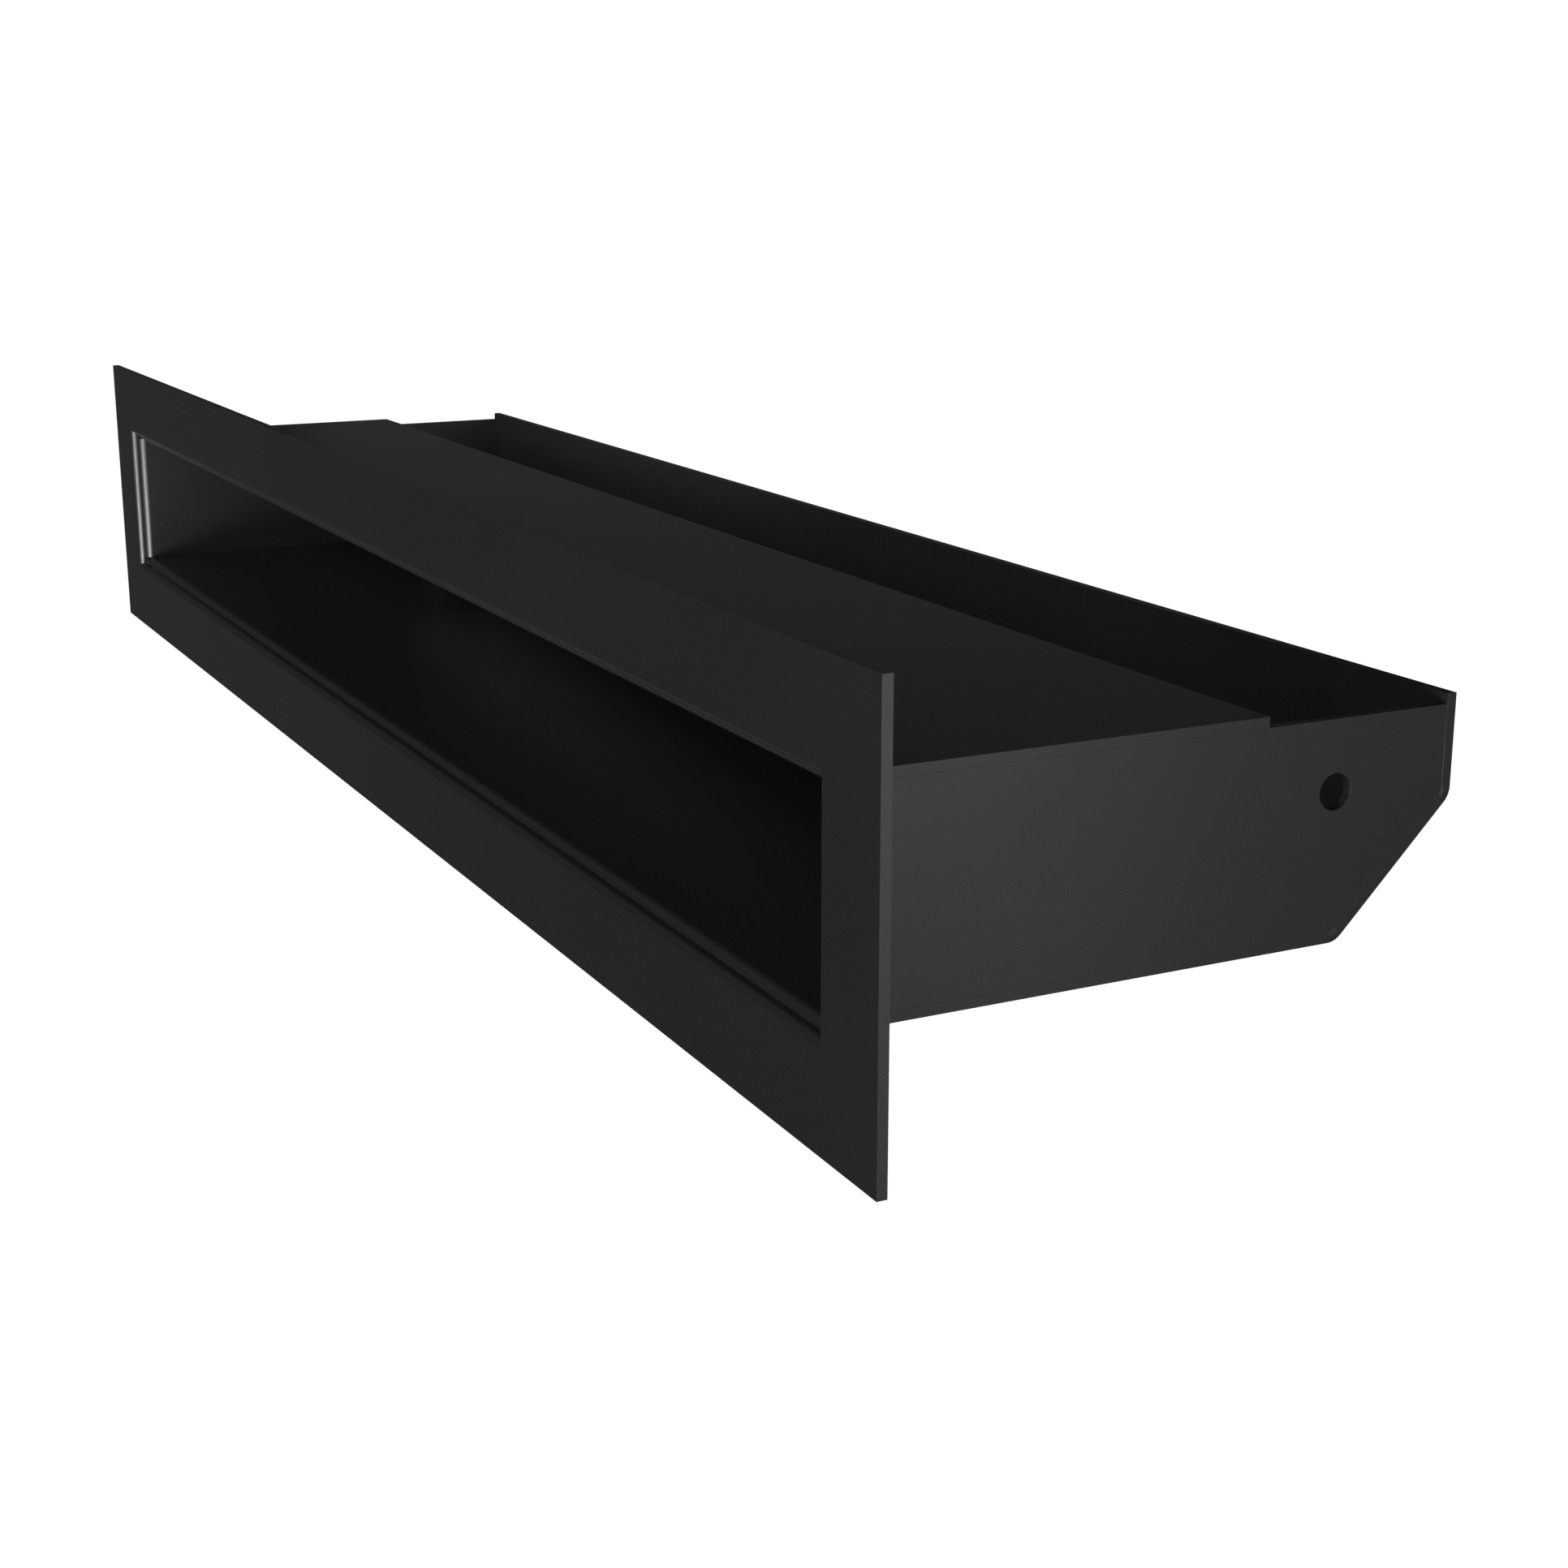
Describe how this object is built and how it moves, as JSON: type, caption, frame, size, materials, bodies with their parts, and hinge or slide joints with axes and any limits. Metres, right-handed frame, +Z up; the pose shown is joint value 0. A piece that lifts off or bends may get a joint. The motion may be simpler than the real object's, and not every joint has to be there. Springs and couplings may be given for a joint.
{
  "type": "fireplace warm air vent",
  "caption": "Long slot-shaped warm air vent for a fireplace hood: flat front plate with a shallow welded sheet-steel box behind it, open at the rear top.",
  "frame": {"origin": "middle of the slot on the back face of the front plate, which is the plane of the wall's face", "axes": "+X to the right seen from the front, along the slot; +Y into the wall; +Z up"},
  "size_m": [0.404, 0.0982, 0.064],
  "materials": {
    "front_powder_coat": "satin black powder coat on sheet steel",
    "box_powder_coat": "satin black powder coat on folded sheet steel",
    "weld_powder_coat": "black powder coat over rippled weld beads"
  },
  "bodies": {
    "root": {"front_frame": "front_powder_coat", "roof_panel": "box_powder_coat", "rear_trough": "box_powder_coat", "left_cheek": "box_powder_coat", "right_cheek": "box_powder_coat", "roof_welds": "weld_powder_coat", "trough_welds": "weld_powder_coat"}
  },
  "joints": []
}
